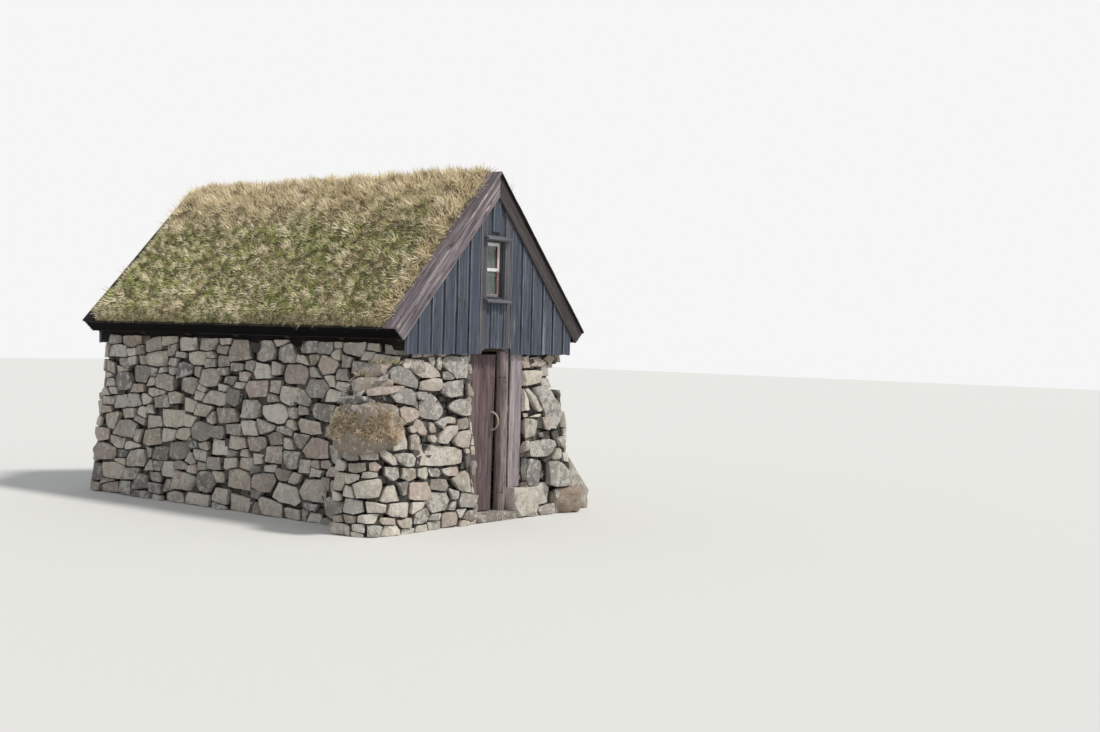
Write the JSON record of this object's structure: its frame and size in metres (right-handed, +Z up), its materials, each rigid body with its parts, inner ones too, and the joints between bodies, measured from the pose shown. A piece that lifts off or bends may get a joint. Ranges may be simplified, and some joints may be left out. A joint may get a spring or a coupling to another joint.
{
  "type": "turf house",
  "caption": "Small turf-roofed house with dry-laid stone walls, a steep roof, a tarred board gable with a small window, and a narrow plank door that opens.",
  "frame": {"origin": "centre of the base, on the level ground the walls stand on, under the ridge", "axes": "+Z up, +Y along the ridge from the front gable to the back, +X to the right as seen from the front"},
  "size_m": [4, 5.52, 3.9014],
  "materials": {
    "stone": "dry-laid rough stone with pale lichen",
    "boulder_stone": "weathered boulder with pale lichen",
    "frame_wood": "rough sawn timber",
    "roof_wood": "rough sawn boards",
    "turf": "living turf with long pale grass",
    "eave_wood": "tarred board",
    "verge_wood_pale": "weathered grey board",
    "verge_wood_dark": "weathered dark board",
    "gable_wood": "tarred boards, worn blue grey",
    "casing_wood": "worn grey board",
    "sash_paint": "white paint, worn",
    "pane": "old window glass",
    "door_wood": "weathered red-brown planks",
    "log_wood": "weathered round log",
    "side_board_wood": "weathered grey board",
    "handle_wood": "pale bent bar",
    "iron": "rusted iron"
  },
  "bodies": {
    "house": {"front_wall_left": "stone", "front_wall_right": "stone", "left_wall": "stone", "right_wall": "stone", "back_wall": "stone", "wing_wall": "stone", "corner_boulder": "boulder_stone", "threshold_stone": "stone", "plate_left": "frame_wood", "plate_right": "frame_wood", "rafters_left": "frame_wood", "rafters_right": "frame_wood", "roof_boards_left": "roof_wood", "roof_boards_right": "roof_wood", "turf_left": "turf", "turf_right": "turf", "eave_board_left": "eave_wood", "eave_board_right": "eave_wood", "front_barge_left": "verge_wood_pale", "front_barge_right": "verge_wood_dark", "front_top_board_left": "verge_wood_pale", "front_top_board_right": "verge_wood_pale", "back_barge_left": "verge_wood_dark", "back_barge_right": "verge_wood_pale", "back_top_board_left": "verge_wood_pale", "back_top_board_right": "verge_wood_pale", "front_gable_beam": "frame_wood", "back_gable_beam": "frame_wood", "front_gable_left": "gable_wood", "front_gable_right": "gable_wood", "front_gable_middle": "gable_wood", "back_gable_boards": "gable_wood", "window_casings": "casing_wood", "window_head": "gable_wood", "window_sill": "gable_wood", "window_lining": "casing_wood", "window_sash": "sash_paint", "window_glass": "pane", "door_post": "door_wood", "door_log": "log_wood", "door_side_board": "side_board_wood", "frame_irons": "iron"},
    "door": {"door_leaf": "door_wood", "door_handle": "handle_wood", "leaf_irons": "iron"}
  },
  "joints": [
    {"name": "door_hinge", "type": "hinge", "parent": "house", "child": "door", "pos_m": [-0.2525, -2.5278, 1], "axis": [0, 0, -1], "range_deg": [0, 95]}
  ]
}
